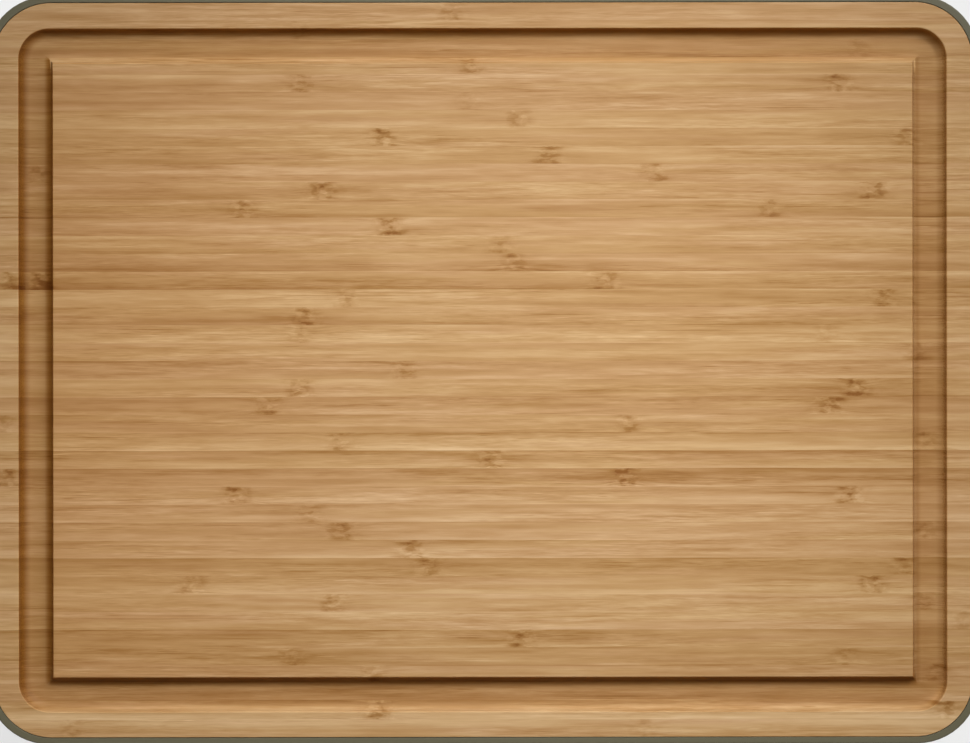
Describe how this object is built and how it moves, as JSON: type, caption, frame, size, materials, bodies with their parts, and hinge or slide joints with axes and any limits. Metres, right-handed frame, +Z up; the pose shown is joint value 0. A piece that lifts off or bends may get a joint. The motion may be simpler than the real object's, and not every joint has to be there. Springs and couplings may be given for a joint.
{
  "type": "cutting board with drawer trays",
  "caption": "Bamboo cutting board with a juice groove, lying in a shallow rounded housing with drawer trays that slide out under it.",
  "frame": {"origin": "on the surface that the feet stand on, under the middle of the housing", "axes": "+X along the length, -Y the way the trays slide out, +Z up"},
  "size_m": [0.365, 0.275, 0.066],
  "materials": {
    "bamboo": "fine sanded and lightly oiled, satin",
    "sage_plastic": "fine moulded texture, matt",
    "tray_plastic": "smooth, satin",
    "runner_plastic": "smooth, satin",
    "soft_pad": "matt",
    "foot_rubber": "matt",
    "screw_steel": "plain steel"
  },
  "bodies": {
    "housing": {"housing_shell": "sage_plastic", "base_panel": "sage_plastic", "base_screws": "screw_steel", "partition": "sage_plastic", "runner_left_outer": "runner_plastic", "runner_left_inner": "runner_plastic", "runner_right_inner": "runner_plastic", "runner_right_outer": "runner_plastic", "stop_left_outer": "runner_plastic", "stop_left_inner": "runner_plastic", "stop_right_inner": "runner_plastic", "stop_right_outer": "runner_plastic", "board_pad_front_left": "soft_pad", "board_pad_front_right": "soft_pad", "board_pad_back_left": "soft_pad", "board_pad_back_right": "soft_pad", "foot_front_left": "foot_rubber", "foot_front_right": "foot_rubber", "foot_back_left": "foot_rubber", "foot_back_right": "foot_rubber"},
    "left_tray": {"tray_left": "tray_plastic", "front_left": "sage_plastic", "front_screws_left": "screw_steel"},
    "right_tray": {"tray_right": "tray_plastic", "front_right": "sage_plastic", "front_screws_right": "screw_steel"},
    "board": {"cutting_board": "bamboo"}
  },
  "joints": [
    {"name": "left_tray_slide", "type": "slide", "parent": "housing", "child": "left_tray", "axis": [0, -1, 0], "range_m": [0, 0.17]},
    {"name": "right_tray_slide", "type": "slide", "parent": "housing", "child": "right_tray", "axis": [0, -1, 0], "range_m": [0, 0.17]},
    {"name": "board_lift", "type": "slide", "parent": "housing", "child": "board", "axis": [0, 0, 1], "range_m": [0, 0.06]}
  ]
}
